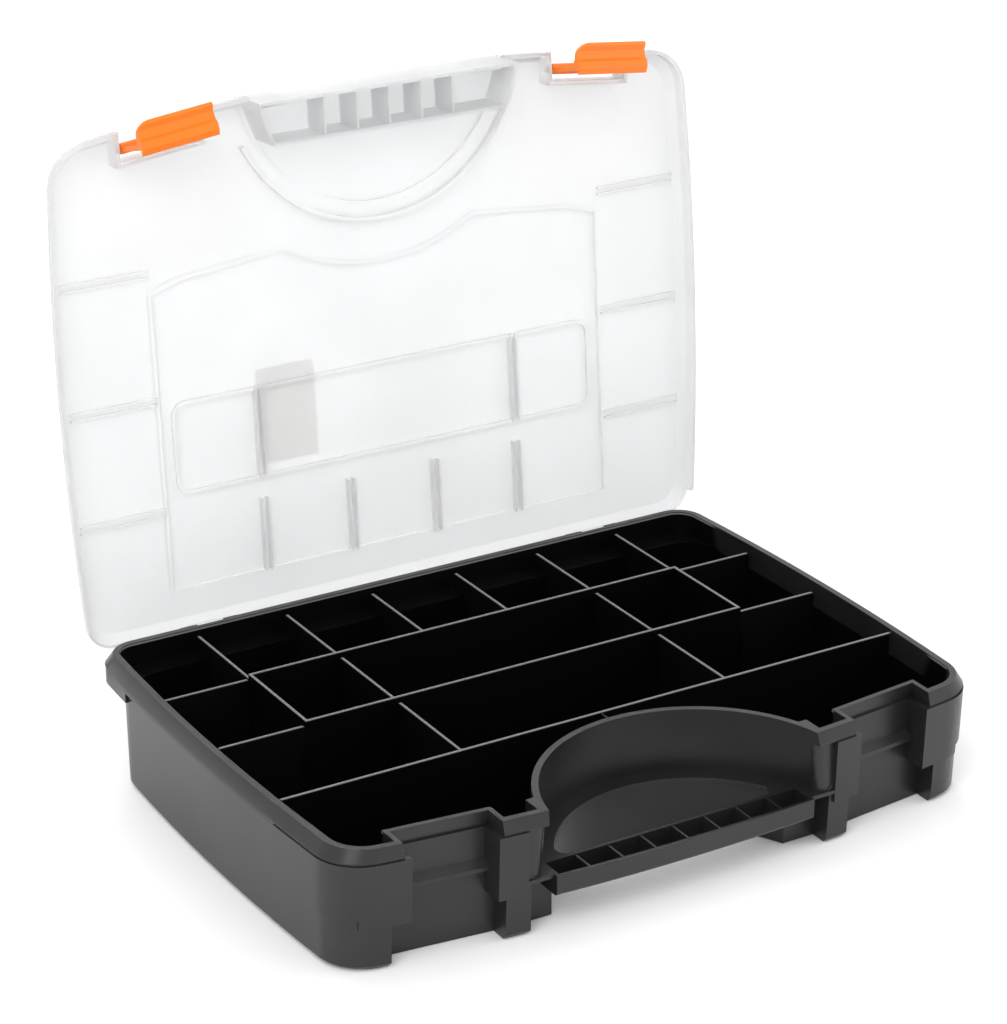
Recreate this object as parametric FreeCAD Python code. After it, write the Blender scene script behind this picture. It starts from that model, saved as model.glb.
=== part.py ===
import FreeCAD, Part
import math
import os
from FreeCAD import Vector

# A carry-case parts organizer: a black tray with moulded cells and lift-out dividers,
# a frosted lid on two hinge pins, and two snap clips along the lid's front edge.
# Frame: origin at the middle of the underside, +X right along the front, +Y to the
# hinge, +Z up. The lid is drawn closed and then turned back to its open rest position.

# Driving dimensions, in millimetres and degrees
TRAY_HEIGHT = 64.0
LEDGE_Z = 56.6             # top of the thick pads, just under the lid's skirt
FRONT_BOW = 16.0           # the front falls back this much at its ends
SIDE_BOW = 5.0             # the side walls fall in this much at their ends
RIM = (183.7, -135.0, 134.5)       # rim band: half width, front middle, back
LIP = (187.4, -136.9, 137.0)       # the band flares out to this lip
LIP_Z = (54.5, 58.0)
MAIN = (186.6, -136.6, 121.0)      # main wall under the lip; its back stands well forward
MAIN_LOW = (186.0, -134.6, 120.5)  # main wall at the underside
RIM_WALL = 3.3
SHELF_Z = 51.5             # inside, the back row steps out over the main wall
SHELF_BACK = 118.0
PAD = 1.5                  # thick pads stand this much proud of the main wall
FLOOR = 2.2
FOOT = 2.4                 # the underside's edge is turned in over this height
SKIN = 2.0                 # skins of the double outer wall
FRONT_CORNER = 24.0
BACK_CORNER = 16.0
WALL_BACK_CORNER = 24.0

GRIP_Y = -147.4            # centre of the round grip recess
GRIP_TOP_RADIUS = 78.0
GRIP_MID_RADIUS = 80.5     # at the web
GRIP_LOW_RADIUS = 72.5     # below the web
FINGER_RADIUS = 70.5
BOSS_LOW_HALF = 85.6       # below the web the bosses stand back from the grip
WEB_TOP = 30.0
WEB = 2.0
BAR_HALF = 74.0
BAR_FRONT = -138.4         # on the centre line; the bar's face is bowed like the case
BAR_BACK = -120.3
BAR_BOTTOM = 19.0
BAR_RIB_PITCH = 18.35
COLUMN_HALF = 88.0         # the inset band turns down here beside the grip

BAY_RIM = (100.5, 150.0)   # clip bays at the rim, from the centre line
BAY_PAD = (103.5, 147.0)   # between the thick pads
BAY_LOW = (98.7, 156.2)    # below the pads
BAY_RIM_DEPTH = 13.0       # behind the rim's front line
BAY_DEPTH = 11.5
PAD_LOW_Z = 23.0
CATCH_BACK_Z = 41.0        # sloped catch bar that the clip hooks under
CATCH_FRONT_Z = 37.5
CATCH_LOW_Z = 35.5
CATCH_FRONT = 7.0

COLUMN_PITCH = 51.4
ROW_BACK = 69.7            # moulded cell walls
ROW_MID = 9.3
ROW_FRONT = -57.0
CELL_WALL = 1.4
CELL_WALL_TOP = 62.9
DIVIDER = 1.3
DIVIDER_TOP = 60.35
DIVIDER_PLAY = 0.35
GUIDE_RIB = 0.9
GUIDE_DEPTH = 1.8

HINGE_Y = 137.17
HINGE_Z = 59.74
KNUCKLE_RADIUS = 2.75
PIN_RADIUS = 1.1
PIN_PLAY = 0.05
HINGE_XS = (-118.0, 118.0)
LID_OPEN = 94.58

LID_SKIRT = (190.2, -140.2, 138.3)
LID_TOP_EDGE = (185.4, -135.4, 133.9)
LID_LOW = 58.3
LID_TURN_Z = 62.0          # the skirt turns into the domed shoulder here
LID_INNER = 68.3
LID_WALL = 1.7
SKIRT_WALL = 2.3
PANEL_STEP = 1.8
STRIP_LOW = 47.8
STRIP_BACK = -113.0
STRIP_RIB_PITCH = 18.7

CLIP_X = 125.0
CLIP_WIDTH = 42.0
CLIP_PIVOT = 5.0           # behind the rim's front line
CLIP_Z = 61.3
CLIP_PIN_RADIUS = 1.2
CLIP_BARREL = 2.9
CLIP_LIP = 12.4            # the finger lip stands out this far
CLIP_REST = 12.0           # the clips rest swung out this much


def box(x0, x1, y0, y1, z0, z1):
    return Part.makeBox(x1 - x0, y1 - y0, z1 - z0, Vector(x0, y0, z0))


def cylinder_x(radius, x0, x1, y, z):
    return Part.makeCylinder(radius, x1 - x0, Vector(x0, y, z), Vector(1, 0, 0))


def drum(low_radius, high_radius, z0, z1):
    """A round drum or cone about the grip's centre."""
    base = Vector(0, GRIP_Y, z0)
    if abs(low_radius - high_radius) < 1e-6:
        return Part.makeCylinder(low_radius, z1 - z0, base)
    return Part.makeCone(low_radius, high_radius, z1 - z0, base)


def prism(points, z0, z1):
    corners = [Vector(x, y, z0) for x, y in points]
    return Part.Face(Part.makePolygon(corners + corners[:1])).extrude(Vector(0, 0, z1 - z0))


def side_profile(points, x0, x1):
    """A bar along x from a list of (y, z) corners."""
    corners = [Vector(x0, y, z) for y, z in points]
    return Part.Face(Part.makePolygon(corners + corners[:1])).extrude(Vector(x1 - x0, 0, 0))


def bow(x):
    """How far the front line lies behind its middle, at x."""
    return FRONT_BOW * (x / 190.0) ** 2


def inset(size, by):
    half, front, back = size
    return (half - by, front + by, back - by)


def outline(size, z):
    """The case's plan: bowed front, slightly bowed sides, straight back."""
    half, front, back = size
    end = half - SIDE_BOW
    side_front = front + bow(end)
    corners = [Vector(-end, side_front, z), Vector(end, side_front, z),
               Vector(end, back, z), Vector(-end, back, z)]
    middle = (side_front + back) / 2
    edges = [Part.Arc(corners[0], Vector(0, front, z), corners[1]).toShape(),
             Part.Arc(corners[1], Vector(half, middle, z), corners[2]).toShape(),
             Part.LineSegment(corners[2], corners[3]).toShape(),
             Part.Arc(corners[3], Vector(-half, middle, z), corners[0]).toShape()]
    return Part.Wire(edges)


def plan(size, z, front_radius, back_radius):
    """The plan with rounded corners, as a closed wire at height z."""
    slab = Part.Face(outline(size, z)).extrude(Vector(0, 0, 10))
    upright = [e for e in slab.Edges if e.BoundBox.ZLength > 9]
    slab = slab.makeFillet(front_radius, [e for e in upright if e.BoundBox.YMax < 0])
    upright = [e for e in slab.Edges if e.BoundBox.ZLength > 9 and e.BoundBox.YMin > size[2] - 1]
    slab = slab.makeFillet(back_radius, [e for e in upright if abs(e.BoundBox.XMin) > size[0] - 9])
    return [f for f in slab.Faces if f.BoundBox.ZLength < 0.01 and f.BoundBox.ZMax < z + 1][0].OuterWire


def block(low, high, z0, z1, front_radius=FRONT_CORNER, back_radius=BACK_CORNER):
    """A block on the case's plan with rounded upright corners, drafted if low and high differ."""
    foot = plan(low, z0, front_radius, back_radius)
    if low == high:
        return Part.Face(foot).extrude(Vector(0, 0, z1 - z0))
    return Part.makeLoft([foot, plan(high, z1, front_radius, back_radius)], True, True)


def front_tool(x_in, x_out, behind, z0, z1, sides=(-1, 1)):
    """Everything in front of a face that lies behind the rim's front line, on both sides."""
    tools = []
    for side in sides:
        y_in = RIM[1] + bow(x_in) + behind
        y_out = RIM[1] + bow(x_out) + behind
        tools.append(prism([(side * x_in, y_in), (side * x_out, y_out),
                            (side * x_out, -175), (side * x_in, -175)], z0, z1))
    return tools


def bay_tools(grow, z0, z1):
    """The clip bays, grown by grow."""
    rim_in, rim_out = BAY_RIM[0] - grow, BAY_RIM[1] + grow
    pad_in, pad_out = BAY_PAD[0] - grow, BAY_PAD[1] + grow
    low_in, low_out = BAY_LOW[0] - grow, BAY_LOW[1] + grow
    tools = front_tool(rim_in, rim_out, BAY_RIM_DEPTH + grow, LEDGE_Z - grow * 0.5, z1)
    tools += front_tool(pad_in, pad_out, BAY_DEPTH + grow, PAD_LOW_Z - 1, LEDGE_Z + 0.5)
    tools += front_tool(low_in, low_out, BAY_DEPTH + grow, z0, PAD_LOW_Z)
    return tools


def grip_tools(grow):
    """The round recess above the web and below it, grown by grow."""
    taper = (GRIP_MID_RADIUS - GRIP_TOP_RADIUS) / (TRAY_HEIGHT - WEB_TOP)
    top = TRAY_HEIGHT + 26
    upper = drum(GRIP_MID_RADIUS + grow, GRIP_MID_RADIUS + grow - taper * (top - WEB_TOP), WEB_TOP, top)
    lower = drum(GRIP_LOW_RADIUS + grow, GRIP_LOW_RADIUS + grow, -1, WEB_TOP + 0.5)
    return [upper, lower]


def column_tool():
    """Beside the grip the main wall is cut back to the rim's line, down to the web."""
    region = box(-COLUMN_HALF, COLUMN_HALF, -170, -90, WEB_TOP, LEDGE_Z + 0.2)
    low_edges = [e for e in region.Edges if e.BoundBox.ZMax < WEB_TOP + 1 and e.BoundBox.YLength > 50]
    region = region.makeFillet(6.0, low_edges)
    return region.cut(Part.Face(outline(RIM, 0)).extrude(Vector(0, 0, 80)))


def pads():
    """Thick pads on the front corners and on the bosses beside the grip."""
    high = inset(MAIN, -PAD)
    body = block(inset(MAIN_LOW, -PAD), high, 0, LEDGE_Z, FRONT_CORNER + PAD)
    found = []
    for side in (-1, 1):
        x0, x1 = sorted((side * BAY_PAD[1], side * 172))
        found.append(body.common(box(x0, x1, -170, -90, PAD_LOW_Z, LEDGE_Z)))
        x0, x1 = sorted((side * 160, side * 210))
        wrap = box(x0, x1, -170, -66, PAD_LOW_Z + 5, LEDGE_Z + 30)
        low = [e for e in wrap.Edges if e.BoundBox.ZLength < 1 and e.BoundBox.YLength < 1
               and e.BoundBox.YMin > -70 and e.BoundBox.ZMax < LEDGE_Z]
        wrap = wrap.makeFillet(18.0, low)
        found.append(body.common(wrap).common(box(-220, 220, -170, 0, 0, LEDGE_Z)))
        x0, x1 = sorted((side * COLUMN_HALF, side * BAY_PAD[0]))
        found.append(body.common(box(x0, x1, -170, -118, PAD_LOW_Z, LEDGE_Z)))
    return found


def tray_outside():
    foot_edge = block(inset(MAIN_LOW, FOOT), MAIN_LOW, 0, FOOT, FRONT_CORNER, WALL_BACK_CORNER)
    main = block(MAIN_LOW, MAIN, FOOT, LIP_Z[0] + 1, FRONT_CORNER, WALL_BACK_CORNER)
    lip = block(LIP, LIP, *LIP_Z)
    shelf = block(LIP, LIP, SHELF_Z - 2.5, LIP_Z[0] + 1).common(box(-220, 220, 98, 200, 0, 90))
    band = block(LIP, RIM, LIP_Z[1], TRAY_HEIGHT, FRONT_CORNER - 2, BACK_CORNER - 1)
    solid = main.fuse([foot_edge, lip, shelf, band] + pads())
    foot = box(-BOSS_LOW_HALF, BOSS_LOW_HALF, -170, BAR_BACK, -1, WEB_TOP)
    for tool in grip_tools(0) + [foot, column_tool()] + bay_tools(0, -1, 90):
        solid = solid.cut(tool)
    return soften(solid)


def soften(solid):
    """Rounds the upright edges where the grip recess and the bays meet the front."""
    for radius, near, far, low in ((6.0, 70, 82, WEB_TOP + 8), (2.0, 99, 104.5, 2), (2.0, 146, 151, 2)):
        edges = []
        for edge in solid.Edges:
            size = edge.BoundBox
            if size.YMin > -119 or size.ZLength < 6 or size.XLength > 3 or size.YLength > 3:
                continue
            if size.ZMin > low - 9 and near < abs(size.Center.x) < far and size.YMax < -121:
                edges.append(edge)
        for edge in edges:
            solid = soften_one(solid, edge, radius)
    return solid


def soften_one(solid, edge, radius):
    """Rounds one edge, and leaves it as it is where a round of that size has no room."""
    found = [e for e in solid.Edges if e.CenterOfMass.distanceToPoint(edge.CenterOfMass) < 0.01]
    try:
        rounded = solid.makeFillet(radius, found)
    except Exception:
        return solid
    return rounded if rounded.isValid() and rounded.Volume > 0.9 * solid.Volume else solid


def tray_inside():
    """The whole space inside, short of the bay and grip walls."""
    high = inset(RIM, RIM_WALL)
    low = inset(high, 1.5)
    void = block(low, high, FLOOR, TRAY_HEIGHT + 5, FRONT_CORNER - 6, BACK_CORNER - 5)
    void = void.cut(box(-220, 220, SHELF_BACK, 200, -1, SHELF_Z))
    corner = block((MAIN[0] - 6, MAIN[1], SHELF_BACK), (MAIN[0] - 6, MAIN[1], SHELF_BACK), 0, SHELF_Z,
                   FRONT_CORNER, WALL_BACK_CORNER - 3)
    slab = box(-220, 220, SHELF_BACK - 30, SHELF_BACK, 0, SHELF_Z)
    void = void.cut(slab.cut(corner))
    for tool in grip_tools(RIM_WALL) + bay_tools(RIM_WALL - 0.8, -1, 90):
        void = void.cut(tool)
    upper = box(-GRIP_MID_RADIUS, GRIP_MID_RADIUS, -170, -118, -1, 90)
    lower = box(-BOSS_LOW_HALF - 2, BOSS_LOW_HALF + 2, -170, BAR_BACK + 2.5, -1, WEB_TOP + 2)
    return void.cut(upper).cut(lower)


def wall_gap():
    """The gap between the two skins of the side walls, open below."""
    ring = block(inset(MAIN_LOW, SKIN), inset(MAIN, SKIN), -0.5, LIP_Z[0] - 2, FRONT_CORNER - 2,
                 WALL_BACK_CORNER - 2)
    inner = inset(RIM, RIM_WALL - SKIN + 0.4)
    core = block(inset(inner, 1.5), inner, -1, LEDGE_Z, FRONT_CORNER - 4, BACK_CORNER - 3)
    gap = ring.cut(core)
    walls = [box(-220, -140, -85, 85, -1, 60), box(140, 220, -85, 85, -1, 60)]
    return [gap.common(w) for w in walls]


def catch_bar(side):
    """Sloped bar across a clip bay."""
    x0, x1 = BAY_PAD[0] - 0.5, BAY_PAD[1] + 0.5
    y0, y1 = (RIM[1] + bow(x) for x in (x0, x1))
    length = math.hypot(x1 - x0, y1 - y0)
    back = BAY_DEPTH + 1.0
    bar = side_profile([(back, CATCH_LOW_Z), (CATCH_FRONT, CATCH_LOW_Z), (CATCH_FRONT, CATCH_FRONT_Z),
                        (back, CATCH_BACK_Z)], 0, length)
    bar.rotate(Vector(0, 0, 0), Vector(0, 0, 1), math.degrees(math.atan2(y1 - y0, x1 - x0)))
    bar.translate(Vector(x0, y0, 0))
    return bar if side > 0 else bar.mirror(Vector(0, 0, 0), Vector(1, 0, 0))


def web():
    """Thin web round the foot of the grip, with the D-shaped finger hole."""
    plate = drum(GRIP_MID_RADIUS + 1.5, GRIP_MID_RADIUS + 1.5, WEB_TOP - WEB, WEB_TOP)
    plate = plate.common(box(-120, 120, BAR_BACK - 1, 0, 0, 60))
    hole = drum(FINGER_RADIUS, FINGER_RADIUS, WEB_TOP - WEB - 1, WEB_TOP + 1)
    hole = hole.common(box(-120, 120, BAR_BACK, 0, 0, 60))
    ends = [e for e in hole.Edges if e.BoundBox.ZLength > 3 and e.BoundBox.XLength < 0.1]
    return plate.cut(hole.makeFillet(6.0, ends))


def bowed_bar(x_half, front, back, z0, z1):
    """A bar whose front face follows the case's bow and whose back is straight."""
    end = front + bow(x_half)
    edges = [Part.Arc(Vector(-x_half, end, z0), Vector(0, front, z0), Vector(x_half, end, z0)).toShape(),
             Part.makePolygon([Vector(x_half, end, z0), Vector(x_half, back, z0),
                               Vector(-x_half, back, z0), Vector(-x_half, end, z0)])]
    return Part.Face(Part.Wire([edges[0]] + edges[1].Edges)).extrude(Vector(0, 0, z1 - z0))


def grip_bar():
    """The open-topped channel that the hand closes round, with its cross ribs."""
    channel = bowed_bar(BAR_HALF, BAR_FRONT, BAR_BACK, BAR_BOTTOM, WEB_TOP)
    low = [e for e in channel.Edges if e.BoundBox.XLength > 100 and e.BoundBox.ZMax < BAR_BOTTOM + 1]
    channel = channel.makeFillet(2.0, low)
    trough = bowed_bar(BAR_HALF - 2, BAR_FRONT + 1.8, BAR_BACK - 1.8, BAR_BOTTOM + 2, WEB_TOP + 1)
    ribs = [box(i * BAR_RIB_PITCH - 0.6, i * BAR_RIB_PITCH + 0.6, BAR_FRONT + 1 + bow(i * BAR_RIB_PITCH),
                BAR_BACK - 1, BAR_BOTTOM + 1, WEB_TOP - 0.5) for i in range(-3, 4)]
    arms = []
    for side in (-1, 1):
        x0, x1 = sorted((side * (BAR_HALF - 1), side * (COLUMN_HALF + 4)))
        arms.append(box(x0, x1, RIM[1] + 1.5, BAR_BACK, WEB_TOP - WEB, WEB_TOP))
    return [channel.cut(trough).fuse(ribs)] + arms


def cell_walls():
    """Moulded walls: two long rows with their end walls, the front row, and a stub."""
    end = 2.5 * COLUMN_PITCH
    half = CELL_WALL / 2
    walls = [box(-end - half, end + half, y - half, y + half, 1, CELL_WALL_TOP)
             for y in (ROW_BACK, ROW_MID)]
    walls += [box(x - half, x + half, ROW_MID, ROW_BACK, 1, CELL_WALL_TOP) for x in (-end, end)]
    walls.append(box(-200, 200, ROW_FRONT - half, ROW_FRONT + half, 1, CELL_WALL_TOP))
    walls.append(box(-half, half, -80, ROW_FRONT, 1, CELL_WALL_TOP - 0.5))
    return walls


def divider_runs():
    """Every lift-out divider: name, axis it runs along, fixed coordinate, and its two ends."""
    half = CELL_WALL / 2
    back = RIM[2] - RIM_WALL - 1.5
    side = RIM[0] - RIM_WALL - 3.0
    end = 2.5 * COLUMN_PITCH + half
    runs = [(f"divider_back_{i + 1}", "y", (i - 2.5) * COLUMN_PITCH, ROW_BACK + half, back)
            for i in range(6)]
    for word, x in (("left", -1.5 * COLUMN_PITCH), ("right", 1.5 * COLUMN_PITCH)):
        runs.append((f"divider_frame_{word}", "y", x, ROW_MID + half, ROW_BACK - half))
        runs.append((f"divider_mid_{word}", "y", x, ROW_FRONT + half, ROW_MID - half))
    for word, y in (("back", ROW_BACK), ("front", ROW_MID)):
        runs.append((f"divider_side_{word}_left", "x", y, -side, -end))
        runs.append((f"divider_side_{word}_right", "x", y, end, side))
    return runs


def at_case_wall(way, place):
    """True where a divider's end meets the case's own wall and not a moulded cell wall."""
    return abs(place) > (100 if way == "y" else 150)


def lay(shape, way, fixed, start):
    """Puts a piece drawn along +X from the origin onto its run."""
    if way == "y":
        shape.rotate(Vector(0, 0, 0), Vector(0, 0, 1), 90)
        shape.translate(Vector(fixed, start, 0))
    else:
        shape.translate(Vector(start, fixed, 0))
    return shape


def guide_ribs():
    """Pairs of upright ribs that hold the two ends of every divider."""
    gap = DIVIDER / 2 + 0.3
    ribs = []
    for _, way, fixed, start, end in divider_runs():
        foot_end = SHELF_BACK if way == "y" and at_case_wall(way, end) else end
        past_row = way == "x" or abs(fixed) > 2 * COLUMN_PITCH
        inner = -0.3 if past_row else 0.4
        before = 5.0 if at_case_wall(way, start) else inner
        after = 5.0 if at_case_wall(way, end) else inner
        for near, far in ((-before, GUIDE_DEPTH),
                          (foot_end - start - GUIDE_DEPTH, foot_end - start + after)):
            for y in (gap, -gap - GUIDE_RIB):
                rib = box(near, far, y, y + GUIDE_RIB, 1, SHELF_Z - 4)
                ribs.append(lay(rib, way, fixed, start))
    return ribs


def divider(way, fixed, start, end):
    """A thin plate with rounded top corners; those of the back row reach out over the shelf."""
    half = DIVIDER / 2
    span = end - start - 2 * DIVIDER_PLAY
    plate = box(0, span, -half, half, FLOOR + 0.02, DIVIDER_TOP)
    if way == "y" and at_case_wall(way, end):
        foot = SHELF_BACK - start - 2 * DIVIDER_PLAY
        plate = plate.cut(box(foot, span + 1, -5, 5, 0, SHELF_Z + 0.3))
    top = [e for e in plate.Edges if e.BoundBox.YLength > 0.5 and e.BoundBox.XLength < 0.1
           and e.BoundBox.ZMin > DIVIDER_TOP - 1]
    return lay(plate.makeFillet(1.5, top), way, fixed, start + DIVIDER_PLAY)


def base_knuckles():
    """Fixed hinge knuckles on the back ledge."""
    found = []
    for x in HINGE_XS:
        for x0, x1 in ((x - 16, x - 8.4), (x + 8.4, x + 16)):
            barrel = cylinder_x(KNUCKLE_RADIUS, x0, x1, HINGE_Y, HINGE_Z)
            foot = side_profile([(RIM[2] - 1, LIP_Z[0] + 0.5), (LIP[2] - 0.5, LIP_Z[0] + 0.5),
                                 (HINGE_Y + KNUCKLE_RADIUS - 0.4, HINGE_Z - 0.8),
                                 (HINGE_Y, HINGE_Z + 0.5), (RIM[2] - 1, HINGE_Z + 0.5)], x0, x1)
            found.append(barrel.fuse(foot))
    return found


def hinge_room():
    """Room in the rim for the lid's knuckles to turn."""
    low = HINGE_Z - KNUCKLE_RADIUS - 0.4
    return [box(x - 8.4, x + 8.4, RIM[2] - 1.2, RIM[2] + 8, low, TRAY_HEIGHT + 3) for x in HINGE_XS]


def pin_bores():
    return [cylinder_x(PIN_RADIUS, x - 15.0, x + 17.0, HINGE_Y, HINGE_Z) for x in HINGE_XS]


def tray():
    inside = tray_inside()
    solid = tray_outside()
    solid = solid.cut([inside] + wall_gap() + hinge_room())
    fittings = [piece.common(inside) for piece in cell_walls() + guide_ribs()]
    solid = solid.fuse(fittings + [catch_bar(-1), catch_bar(1), web()] + grip_bar() + base_knuckles())
    return solid.cut(pin_bores()).removeSplitter()


def hinge_pin(x):
    """A pin with a small chamfer at its open end."""
    pin = cylinder_x(PIN_RADIUS, x - 15.0, x + 15.6, HINGE_Y, HINGE_Z)
    ends = [e for e in pin.Edges if e.BoundBox.XLength < 0.1]
    return pin.makeChamfer(0.3, ends)


# The lid, drawn closed

def lid_shell():
    """Skirt and domed shoulder, and the room inside them."""
    high = LID_INNER + LID_WALL
    skirt = block(LID_SKIRT, LID_SKIRT, LID_LOW, LID_TURN_Z, FRONT_CORNER, BACK_CORNER)
    dome = block(LID_SKIRT, LID_TOP_EDGE, LID_TURN_Z, high, FRONT_CORNER, BACK_CORNER)
    low = inset(LID_SKIRT, SKIRT_WALL)
    top = inset(LID_TOP_EDGE, SKIRT_WALL - 0.5)
    turn = TRAY_HEIGHT + 0.6
    room = block(low, low, LID_LOW - 2, turn, FRONT_CORNER - 3, BACK_CORNER - 3)
    attic = block(low, top, turn, LID_INNER, FRONT_CORNER - 3, BACK_CORNER - 3)
    return skirt.fuse(dome), room.fuse(attic)


def notch_tools(grow, z0, z1):
    """Clip notches in the lid's front, grown by grow."""
    x_in, x_out = BAY_RIM[0] + 0.4 + grow, BAY_RIM[1] - 0.4 - grow
    return front_tool(x_in, x_out, BAY_RIM_DEPTH - 0.4 - grow, z0, z1)


def strip_region(z0, z1):
    """Plan of the lid's half of the grip, inside the round recess."""
    region = drum(GRIP_TOP_RADIUS - 1.7, GRIP_TOP_RADIUS - 1.7, z0, z1)
    return region.common(box(-90, 90, RIM[1] - 1.0, STRIP_BACK, z0, z1))


def grip_strip():
    """A ribbed channel that drops from the lid into the grip recess."""
    top = LID_INNER + LID_WALL + 2.0
    walls = strip_region(STRIP_LOW, top)
    core = drum(GRIP_TOP_RADIUS - 3.5, GRIP_TOP_RADIUS - 3.5, STRIP_LOW - 1, LID_INNER + 2.0)
    core = core.common(box(-90, 90, RIM[1] + 0.8, STRIP_BACK - 1.6, STRIP_LOW - 1, LID_INNER + 2.0))
    ribs = [box(i * STRIP_RIB_PITCH - 0.6, i * STRIP_RIB_PITCH + 0.6, RIM[1] + 0.2, STRIP_BACK - 1,
                STRIP_LOW + 2, LID_INNER + 2.5) for i in range(-2, 3)]
    return walls.cut(core).fuse(ribs)


def panel_plan(grow, z0, z1):
    """The large centre panel: straight sides, shoulders, and a round bite above the grip."""
    points = [(-133.7, 118), (133.7, 118), (133.7, -44), (118, -49), (56, -55), (-56, -55),
              (-118, -49), (-133.7, -44)]
    plan = prism([(x - math.copysign(grow, x), y + (grow if y < 0 else -grow)) for x, y in points],
                 z0, z1)
    bite = drum(108.2 + grow, 108.2 + grow, z0 - 1, z1 + 1)
    return plan.cut(bite)


def rounded_plate(x, y0, y1, radius, z0, z1):
    plate = box(-x, x, y0, y1, z0, z1)
    return plate.makeFillet(radius, [e for e in plate.Edges if e.BoundBox.ZLength > 0.5])


def lid_ribs():
    """Pairs of low ribs under the lid that straddle the walls and dividers below."""
    low = LID_INNER - 1.8
    ribs = []
    for offset in (-2.2, 1.2):
        for x in (-1.5 * COLUMN_PITCH, 1.5 * COLUMN_PITCH):
            ribs.append(box(x + offset, x + offset + 1.0, 16, 65, low, LID_INNER + 2))
        for i in range(4):
            x = (i - 1.5) * COLUMN_PITCH
            ribs.append(box(x + offset, x + offset + 1.0, 77, 117, low, LID_INNER + 2))
        for y in (ROW_FRONT + 3, ROW_MID + 3.5, ROW_BACK + 3):
            for x0, x1 in ((-182, -134), (134, 182)):
                ribs.append(box(x0, x1, y + offset, y + offset + 1.0, low, LID_INNER + 0.5))
    return ribs


def lid_knuckles():
    """Knuckles that turn on the hinge pins."""
    found = []
    for x in HINGE_XS:
        barrel = cylinder_x(KNUCKLE_RADIUS, x - 8.0, x + 8.0, HINGE_Y, HINGE_Z)
        lug = side_profile([(LID_SKIRT[2] - 2.0, HINGE_Z + 6.5), (LID_SKIRT[2] - 2.0, HINGE_Z + 2.2),
                            (HINGE_Y - 1.6, HINGE_Z + 0.5), (HINGE_Y + KNUCKLE_RADIUS - 0.4, HINGE_Z + 0.5),
                            (LID_SKIRT[2], HINGE_Z + 6.5)], x - 8.0, x + 8.0)
        found.append(barrel.fuse(lug))
    return found


def clip_frame(side):
    """Where a clip's pivot line lies: its middle and its direction."""
    x0, x1 = CLIP_X - 20, CLIP_X + 20
    slope = (bow(x1) - bow(x0)) / 40.0
    middle = Vector(side * CLIP_X, RIM[1] + bow(CLIP_X) + CLIP_PIVOT, CLIP_Z)
    way = Vector(1, side * slope, 0)
    way.normalize()
    return middle, way


def lid_closed():
    solid, room = lid_shell()
    top = LID_INNER + LID_WALL
    raised = [panel_plan(0, top - 0.5, top + PANEL_STEP)]
    grip_panel = drum(GRIP_TOP_RADIUS, GRIP_TOP_RADIUS, top - 0.5, top + 2.0)
    raised.append(grip_panel.common(box(-90, 90, RIM[1] - 1.0, 0, 0, 90)))
    solid = solid.fuse(raised)
    keep = notch_tools(0, 40, 90) + front_tool(0, 75, 2.0, 40, 90)
    room = room.cut(keep)
    room = room.fuse([panel_plan(LID_WALL, LID_INNER - 1, LID_INNER + PANEL_STEP)])
    grip_room = drum(GRIP_TOP_RADIUS - 1.7, GRIP_TOP_RADIUS - 1.7, LID_INNER - 1, LID_INNER + 2.0)
    room = room.fuse(grip_room.common(box(-90, 90, STRIP_BACK - 0.5, 0, 0, 90)))
    solid = solid.cut([room] + notch_tools(2.0, 40, 90) + front_tool(0, 75, -1.0, 40, 90))
    solid = solid.cut(box(-250, 250, RIM[2] - 9, 200, 40, HINGE_Z + 3.2))
    window = rounded_plate(126, 16, 66, 8, LID_INNER + PANEL_STEP - 2.2, LID_INNER + PANEL_STEP + 0.2)
    frame = rounded_plate(124.2, 17.8, 64.2, 6.2, LID_INNER - 3, LID_INNER + PANEL_STEP + 1)
    ridge = drum(86.5, 86.5, 64.4, LID_INNER + 1).cut(drum(84.4, 84.4, 60, 80))
    ridge = ridge.common(box(-90, 90, RIM[1] + 24, 0, 0, 90))
    extras = [window.cut(frame), ridge, grip_strip()] + lid_ribs() + lid_knuckles()
    solid = solid.fuse(extras)
    bores = [cylinder_x(PIN_RADIUS + PIN_PLAY, x - 9, x + 9, HINGE_Y, HINGE_Z) for x in HINGE_XS]
    for side in (-1, 1):
        middle, way = clip_frame(side)
        reach = CLIP_WIDTH / 2 + 2.9
        bores.append(Part.makeCylinder(CLIP_PIN_RADIUS + PIN_PLAY, 2 * reach, middle - way * reach, way))
    return solid.cut(bores).removeSplitter()


def to_open(shape):
    """Turns a closed-lid piece to the open rest position."""
    moved = shape.copy()
    moved.rotate(Vector(0, HINGE_Y, HINGE_Z), Vector(-1, 0, 0), LID_OPEN)
    return moved


def clip_profile(half):
    """Plate, hook at its foot, and a curled finger lip, in (outward, down) from the pivot."""
    foot = CATCH_LOW_Z - CLIP_Z - 0.4
    lip = -CLIP_LIP
    points = [(-1.1, 0), (1.1, 0), (1.1, foot), (4.0, foot), (4.0, foot - 0.9), (1.2, foot - 2.6),
              (-2.6, foot - 2.6), (-4.0, foot - 1.0), (-8.2, foot - 0.4), (lip + 1.6, foot - 2.0),
              (lip, foot - 1.6), (lip - 0.2, foot + 0.2), (-8.6, foot + 2.0), (-4.0, foot + 2.6),
              (-1.8, foot + 4.6), (-1.1, foot + 8.0)]
    bar = side_profile(points, -half, half)
    round_end = 7.0
    corner = box(-half - 1, -half + round_end, lip - 1, lip + round_end, foot - 4, foot + 4)
    centre = Vector(-half + round_end, lip + round_end, foot - 5)
    return bar.cut(corner.cut(Part.makeCylinder(round_end, 12, centre)))


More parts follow.
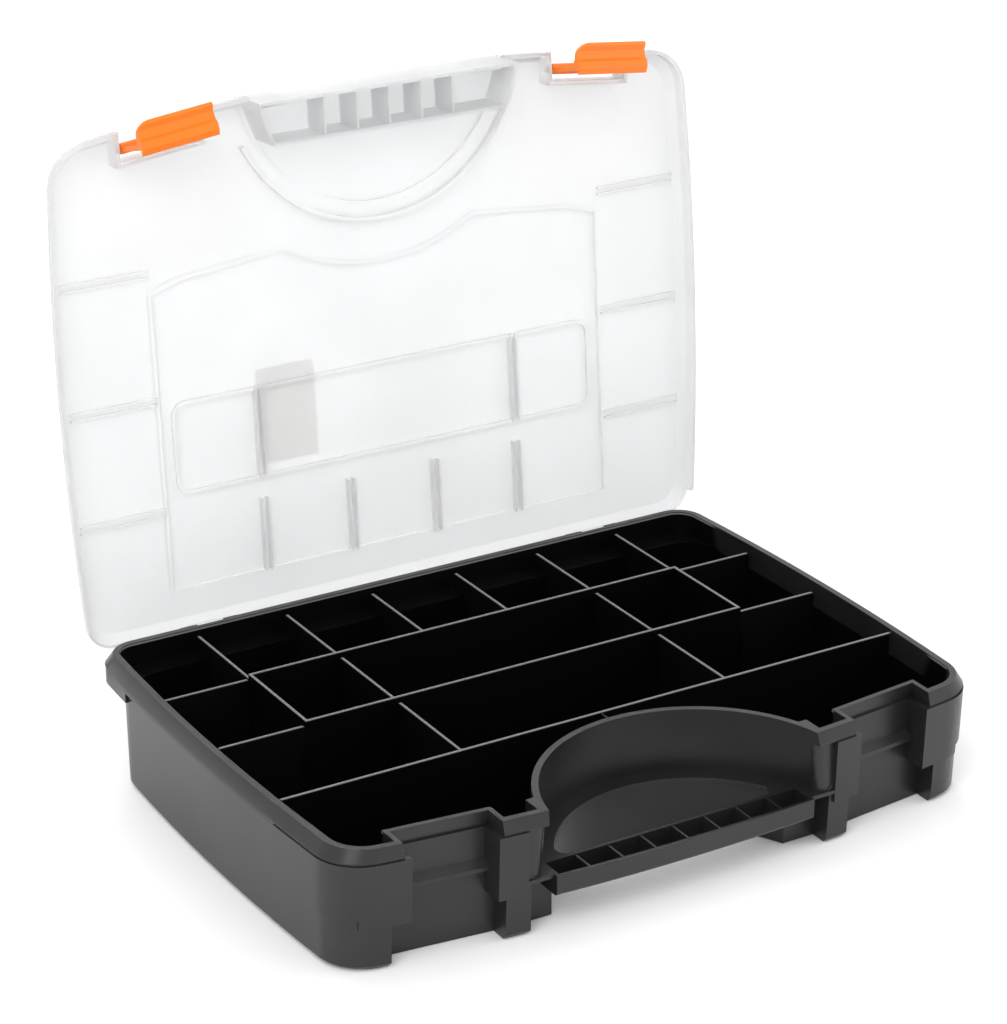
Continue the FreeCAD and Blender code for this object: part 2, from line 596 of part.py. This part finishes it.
def clip(side):
    """A snap clip: barrel with pins, ridged plate, hook and finger lip."""
    half = CLIP_WIDTH / 2
    barrel = cylinder_x(CLIP_BARREL, -half, half, -0.6, 0)
    pins = cylinder_x(CLIP_PIN_RADIUS, -half - 2.4, half + 2.4, 0, 0)
    ridges = [side_profile([(-0.9, z + 0.9), (-2.0, z), (-0.9, z - 0.9)], -half + 2, half - 2)
              for z in (-7.0, -11.0, -15.0)]
    solid = barrel.fuse([pins, clip_profile(half)] + ridges).removeSplitter()
    middle, way = clip_frame(side)
    solid.rotate(Vector(0, 0, 0), Vector(0, 0, 1), math.degrees(math.atan2(way.y, way.x)))
    solid.translate(middle)
    solid.rotate(middle, way * -1, CLIP_REST)
    return to_open(solid)


def lid_label():
    """A blank sticker on the outside of the lid."""
    low = LID_INNER + LID_WALL + PANEL_STEP
    return to_open(box(-76, -42, 8, 60, low, low + 0.2))


def check(name, shape):
    if len(shape.Solids) != 1 or not shape.isValid():
        print("CHECK", name, "solids", len(shape.Solids), "valid", shape.isValid())


def main():
    os.makedirs("parts", exist_ok=True)
    shapes = {"base_tray": tray(), "lid": to_open(lid_closed()), "lid_label": lid_label()}
    for word, side in (("left", -1), ("right", 1)):
        shapes[f"latch_{word}"] = clip(side)
        shapes[f"hinge_pin_{word}"] = hinge_pin(side * HINGE_XS[1])
    for name, way, fixed, start, end in divider_runs():
        shapes[name] = divider(way, fixed, start, end)
    for name, shape in shapes.items():
        check(name, shape)
        shape.exportStep(f"parts/{name}.step")
        print(name, "volume", round(shape.Volume / 1000, 1), "cm3")


main()
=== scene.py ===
"""Looks of the parts organizer: materials, rounded edges, floor, light and camera."""
import math

import bmesh
import bpy
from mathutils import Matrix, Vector

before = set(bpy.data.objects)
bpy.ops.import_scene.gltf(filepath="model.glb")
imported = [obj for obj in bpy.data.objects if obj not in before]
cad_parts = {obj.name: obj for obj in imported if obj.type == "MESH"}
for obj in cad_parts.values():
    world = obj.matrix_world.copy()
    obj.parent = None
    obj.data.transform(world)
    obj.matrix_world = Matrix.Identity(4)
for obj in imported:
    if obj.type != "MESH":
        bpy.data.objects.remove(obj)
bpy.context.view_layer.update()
MM = 0.001

# Where the inside of the tray ends, in metres
INSIDE_SIDE = 0.1820       # half width between the side walls' faces
SIDE_FALL = 0.274          # how fast the side walls fall in towards their ends
INSIDE_FRONT = -0.1210     # y inside the front wall, on the centre line
FRONT_FALL = 0.443         # how fast the front falls back towards its ends
GRIP_Y = -0.1474           # centre of the round grip recess
INSIDE_GRIP = 0.0808       # radius between the faces of its wall
SHELF = 0.0502             # the back row steps out over the main wall at this height
LOW_CORNER = (0.1576, 0.0970, 0.0225)    # x, y and radius that part the back corners below it
HIGH_CORNER = (0.1627, 0.1185, 0.0143)   # and above it
RIM_TOP = 0.0637
UNDERSIDE = 0.0010
CELL_WALL_TOP = 0.0628
DIVIDER_TOP = 0.0602
BLEND = 0.0004             # width over which one shade goes over into the next

# Painted shade: near black colour inside the tray and on the dividers. Painted highlight: light colour on
# the top edges of the cell walls and dividers.
PAINTED_SHADE_BLACK = (0.0022, 0.0022, 0.0022)
PAINTED_EDGE_HIGHLIGHT = (0.20, 0.20, 0.198)
CASE_SHEEN = 0.5
INSIDE_SHEEN = 0.1

# Edges, in millimetres and degrees
WELD_GAP = 0.002
SHARP_ANGLE = 38

# Studio, in metres, watts and degrees. The camera stands at the photograph's viewing angle
FLOOR_HALF = 8.0
FLOOR_DROP = 0.0004
LIGHT_AIM = (0, 0, 0.12)
WORLD_STRENGTH = 0.95
CAMERA_PLACE = (-0.7965, -1.2869, 0.7954)
CAMERA_TILT = 66.87
CAMERA_TURN = -31.06
CAMERA_LENS = 116.7
SENSOR_WIDTH = 36.0
CLIP_END = 50.0


# Shader nodes

def new_material(name):
    material = bpy.data.materials.new(name)
    material.use_nodes = True
    shader = material.node_tree.nodes["Principled BSDF"]
    return material, material.node_tree, shader


def add_node(tree, kind, **values):
    """A node with its inputs set by name."""
    node = tree.nodes.new(kind)
    for key, value in values.items():
        node.inputs[key.replace("_", " ")].default_value = value
    return node


def set_input(tree, socket, value):
    """Links an output to a socket, or writes a plain value into it."""
    if isinstance(value, bpy.types.NodeSocket):
        tree.links.new(value, socket)
    else:
        socket.default_value = value


def maths(tree, operation, *values):
    """One calculation on numbers and other nodes' outputs."""
    node = tree.nodes.new("ShaderNodeMath")
    node.operation = operation
    for socket, value in zip(node.inputs, values):
        set_input(tree, socket, value)
    return node.outputs["Value"]


def noise(tree, scale, detail=4.0, roughness=0.55):
    place = tree.nodes.new("ShaderNodeTexCoord")
    node = add_node(tree, "ShaderNodeTexNoise", Scale=scale, Detail=detail, Roughness=roughness)
    tree.links.new(place.outputs["Object"], node.inputs["Vector"])
    return node.outputs["Fac"]


def spread(tree, source, low, high):
    """Maps the middle of a noise to low to high."""
    node = add_node(tree, "ShaderNodeMapRange", From_Min=0.3, From_Max=0.7, To_Min=low, To_Max=high)
    tree.links.new(source, node.inputs["Value"])
    return node.outputs["Result"]


def step_up(tree, value, start, end):
    """0 up to start, 1 from end on."""
    node = add_node(tree, "ShaderNodeMapRange", From_Min=start, From_Max=end)
    tree.links.new(value, node.inputs["Value"])
    return node.outputs["Result"]


def two_tone(tree, source, dark, light):
    ramp = tree.nodes.new("ShaderNodeValToRGB")
    for element, position, colour in zip(ramp.color_ramp.elements, (0.3, 0.7), (dark, light)):
        element.position = position
        element.color = (*colour, 1)
    tree.links.new(source, ramp.inputs["Fac"])
    return ramp.outputs["Color"]


def mix_colour(tree, amount, first, second):
    node = tree.nodes.new("ShaderNodeMix")
    node.data_type = "RGBA"
    tree.links.new(amount, node.inputs["Factor"])
    for key, colour in (("A", first), ("B", second)):
        set_input(tree, node.inputs[key], (*colour, 1) if isinstance(colour, tuple) else colour)
    return node.outputs["Result"]


def bumps(tree, shader, layers):
    """Stacks bump layers given as (height, strength, distance) onto the shader's normal."""
    last = None
    for height, strength, distance in layers:
        node = add_node(tree, "ShaderNodeBump", Strength=strength, Distance=distance)
        tree.links.new(height, node.inputs["Height"])
        if last is not None:
            tree.links.new(last.outputs["Normal"], node.inputs["Normal"])
        last = node
    tree.links.new(last.outputs["Normal"], shader.inputs["Normal"])


# Which part of the case a point lies on

def case_place(tree):
    """The x, y and z of a point on the case, in metres."""
    place = tree.nodes.new("ShaderNodeTexCoord")
    split = tree.nodes.new("ShaderNodeSeparateXYZ")
    tree.links.new(place.outputs["Object"], split.inputs["Vector"])
    return split.outputs["X"], split.outputs["Y"], split.outputs["Z"]


def inside_back(tree, x, y, z):
    """1 inside the back wall and its rounded corners, which step out above the shelf."""
    above = step_up(tree, z, SHELF - BLEND, SHELF)
    centre_x, centre_y, radius = (maths(tree, "MULTIPLY_ADD", above, high - low, low)
                                  for low, high in zip(LOW_CORNER, HIGH_CORNER))
    from_middle = maths(tree, "ABSOLUTE", x)
    past_x = maths(tree, "MAXIMUM", maths(tree, "SUBTRACT", from_middle, centre_x), 0.0)
    past_y = maths(tree, "MAXIMUM", maths(tree, "SUBTRACT", y, centre_y), 0.0)
    squares = maths(tree, "MULTIPLY_ADD", past_x, past_x, maths(tree, "MULTIPLY", past_y, past_y))
    reach = maths(tree, "SUBTRACT", maths(tree, "SQRT", squares), radius)
    return step_up(tree, reach, BLEND, 0.0)


def inside_case(tree):
    """1 on surfaces inside the tray's outer wall, 0 on its outside, rim, grip and clip bays."""
    x, y, z = case_place(tree)
    x_squared = maths(tree, "MULTIPLY", x, x)
    y_squared = maths(tree, "MULTIPLY", y, y)
    side = maths(tree, "MULTIPLY_ADD", y_squared, SIDE_FALL, maths(tree, "ABSOLUTE", x))
    front = maths(tree, "MULTIPLY_ADD", x_squared, -FRONT_FALL, y)
    from_grip = maths(tree, "SUBTRACT", y, GRIP_Y)
    grip = maths(tree, "SQRT", maths(tree, "MULTIPLY_ADD", from_grip, from_grip, x_squared))
    mask = inside_back(tree, x, y, z)
    for value, start, end in ((side, INSIDE_SIDE + BLEND, INSIDE_SIDE),
                              (front, INSIDE_FRONT, INSIDE_FRONT + BLEND),
                              (grip, INSIDE_GRIP, INSIDE_GRIP + BLEND),
                              (z, RIM_TOP, RIM_TOP - BLEND),
                              (z, UNDERSIDE, UNDERSIDE + BLEND)):
        mask = maths(tree, "MULTIPLY", mask, step_up(tree, value, start, end))
    return mask


def above_height(tree, height):
    return step_up(tree, case_place(tree)[2], height - BLEND, height)


# Materials

def moulded_plastic(name, roughness, grain=0.12):
    """Injection-moulded skin: fine spark grain, faint flow marks, uneven sheen."""
    material, tree, shader = new_material(name)
    flow = noise(tree, 6.0, 2.0)
    fine = noise(tree, 2600.0, 2.0, 0.6)
    tree.links.new(spread(tree, flow, *roughness), shader.inputs["Roughness"])
    bumps(tree, shader, [(fine, grain, 0.00008), (flow, 0.05, 0.0015)])
    return material, tree, shader


def mottled(tree, dark, light):
    """A colour with faint clouds in it."""
    return two_tone(tree, noise(tree, 22.0, 5.0), dark, light)


def tray_plastic():
    """Charcoal outside; painted shade makes the inside near black, and a painted highlight lightens the
    top edges of the moulded cell walls. The inside also gets less sheen.
    """
    material, tree, shader = moulded_plastic("tray plastic", (0.26, 0.38))
    painted_shade = inside_case(tree)
    # painted highlight: the top edges of the cell walls inside are lightened
    top = maths(tree, "MULTIPLY", painted_shade, above_height(tree, CELL_WALL_TOP))
    body = mottled(tree, (0.010, 0.010, 0.0099), (0.016, 0.016, 0.0157))
    # painted shade: the inside of the tray is mixed over to near black
    shaded = mix_colour(tree, painted_shade, body, PAINTED_SHADE_BLACK)
    tree.links.new(mix_colour(tree, top, shaded, PAINTED_EDGE_HIGHLIGHT), shader.inputs["Base Color"])
    sheen = add_node(tree, "ShaderNodeMapRange", To_Min=CASE_SHEEN, To_Max=INSIDE_SHEEN)
    tree.links.new(painted_shade, sheen.inputs["Value"])
    tree.links.new(sheen.outputs["Result"], shader.inputs["Specular IOR Level"])
    return material


def divider_plastic():
    """Painted shade makes it near black, with a painted highlight on its top edge."""
    material, tree, shader = moulded_plastic("divider plastic", (0.4, 0.55))
    # painted shade all over, with a painted highlight on the top edge
    colour = mix_colour(tree, above_height(tree, DIVIDER_TOP), PAINTED_SHADE_BLACK, PAINTED_EDGE_HIGHLIGHT)
    tree.links.new(colour, shader.inputs["Base Color"])
    shader.inputs["Specular IOR Level"].default_value = INSIDE_SHEEN
    return material


def clip_plastic():
    """Bright orange."""
    material, tree, shader = moulded_plastic("clip plastic", (0.34, 0.44), 0.05)
    tree.links.new(mottled(tree, (0.86, 0.165, 0.002), (0.93, 0.195, 0.003)), shader.inputs["Base Color"])
    return material


def frosted_plastic():
    """Clear polypropylene with a milky body and a soft satin skin."""
    material, tree, shader = new_material("frosted lid")
    cloud = noise(tree, 9.0, 4.0)
    fine = noise(tree, 1800.0, 2.0)
    tree.links.new(two_tone(tree, cloud, (0.84, 0.845, 0.85), (0.90, 0.905, 0.91)),
                   shader.inputs["Base Color"])
    tree.links.new(spread(tree, cloud, 0.36, 0.46), shader.inputs["Roughness"])
    shader.inputs["Transmission Weight"].default_value = 0.6
    shader.inputs["IOR"].default_value = 1.3
    shader.inputs["Subsurface Weight"].default_value = 0.1
    shader.inputs["Subsurface Radius"].default_value = (0.02, 0.02, 0.02)
    shader.inputs["Specular IOR Level"].default_value = 0.45
    bumps(tree, shader, [(fine, 0.08, 0.00006), (cloud, 0.06, 0.001)])
    return material


def steel():
    """Drawn steel with fine uneven marks."""
    material, tree, shader = new_material("pin steel")
    marks = noise(tree, 900.0, 3.0)
    tree.links.new(two_tone(tree, marks, (0.45, 0.45, 0.47), (0.62, 0.62, 0.64)),
                   shader.inputs["Base Color"])
    tree.links.new(spread(tree, marks, 0.22, 0.38), shader.inputs["Roughness"])
    shader.inputs["Metallic"].default_value = 1.0
    bumps(tree, shader, [(marks, 0.1, 0.0001)])
    return material


def sticker():
    """Blank, thin paper label with faint fibres, which lets light through."""
    material, tree, shader = new_material("label paper")
    fibre = noise(tree, 420.0, 6.0)
    tree.links.new(two_tone(tree, fibre, (0.90, 0.885, 0.86), (0.95, 0.94, 0.92)),
                   shader.inputs["Base Color"])
    shader.inputs["Transmission Weight"].default_value = 0.7
    shader.inputs["IOR"].default_value = 1.2
    tree.links.new(spread(tree, fibre, 0.55, 0.7), shader.inputs["Roughness"])
    bumps(tree, shader, [(fibre, 0.15, 0.0001)])
    return material


def floor_paint():
    material, tree, shader = new_material("floor")
    speckle = noise(tree, 3.0, 2.0)
    tree.links.new(two_tone(tree, speckle, (0.96, 0.96, 0.96), (0.975, 0.975, 0.975)),
                   shader.inputs["Base Color"])
    shader.inputs["Roughness"].default_value = 0.9
    shader.inputs["Specular IOR Level"].default_value = 0.1
    return material


# Finishing the CAD nodes

def finish_node(name, material, edge=0.0, segments=2):
    """Gives a CAD node its material and soft moulded edges, edge millimetres wide."""
    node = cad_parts[name]
    node.data.materials.clear()
    node.data.materials.append(material)
    weld = node.modifiers.new("join faces", "WELD")
    weld.merge_threshold = WELD_GAP * MM
    if edge:
        bevel = node.modifiers.new("soft edges", "BEVEL")
        bevel.width = edge * MM
        bevel.segments = segments
        bevel.limit_method = "ANGLE"
        bevel.angle_limit = math.radians(SHARP_ANGLE)
        bevel.use_clamp_overlap = True
        bevel.harden_normals = True
    smooth = node.modifiers.new("even shading", "WEIGHTED_NORMAL")
    smooth.keep_sharp = True


def dress():
    finish_node("base_tray", tray_plastic(), 0.4)
    finish_node("lid", frosted_plastic(), 0.3)
    finish_node("lid_label", sticker())
    orange = clip_plastic()
    pin = steel()
    for side in ("left", "right"):
        finish_node(f"latch_{side}", orange, 0.35, 3)
        finish_node(f"hinge_pin_{side}", pin)
    plate = divider_plastic()
    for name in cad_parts:
        if name.startswith("divider_"):
            finish_node(name, plate, 0.2)


# Floor, light and camera

def make_floor():
    mesh = bpy.data.meshes.new("floor")
    sketch = bmesh.new()
    bmesh.ops.create_grid(sketch, x_segments=8, y_segments=8, size=FLOOR_HALF)
    sketch.to_mesh(mesh)
    sketch.free()
    floor = bpy.data.objects.new("floor", mesh)
    bpy.context.scene.collection.objects.link(floor)
    floor.location.z = -FLOOR_DROP
    mesh.materials.append(floor_paint())


def area_light(name, place, size, power):
    data = bpy.data.lights.new(name, "AREA")
    data.shape = "RECTANGLE"
    data.size, data.size_y = size
    data.energy = power
    lamp = bpy.data.objects.new(name, data)
    bpy.context.scene.collection.objects.link(lamp)
    lamp.location = place
    lamp.rotation_euler = (Vector(LIGHT_AIM) - Vector(place)).to_track_quat("-Z", "Y").to_euler()


def make_light():
    area_light("key", (-1.6, -1.5, 2.2), (1.6, 1.6), 34)
    area_light("fill", (2.2, -1.2, 1.3), (1.4, 1.8), 12)
    area_light("back", (0.3, 2.4, 1.9), (2.4, 1.2), 26)
    world = bpy.data.worlds.new("studio")
    world.use_nodes = True
    shade = world.node_tree.nodes["Background"]
    shade.inputs["Color"].default_value = (1.0, 1.0, 1.0, 1)
    shade.inputs["Strength"].default_value = WORLD_STRENGTH
    bpy.context.scene.world = world
    bpy.context.scene.view_settings.view_transform = "Standard"


def make_camera():
    data = bpy.data.cameras.new("camera")
    data.lens = CAMERA_LENS
    data.sensor_width = SENSOR_WIDTH
    data.clip_end = CLIP_END
    camera = bpy.data.objects.new("camera", data)
    bpy.context.scene.collection.objects.link(camera)
    camera.location = CAMERA_PLACE
    camera.rotation_euler = (math.radians(CAMERA_TILT), 0, math.radians(CAMERA_TURN))
    bpy.context.scene.camera = camera


make_camera()
make_light()
make_floor()
dress()
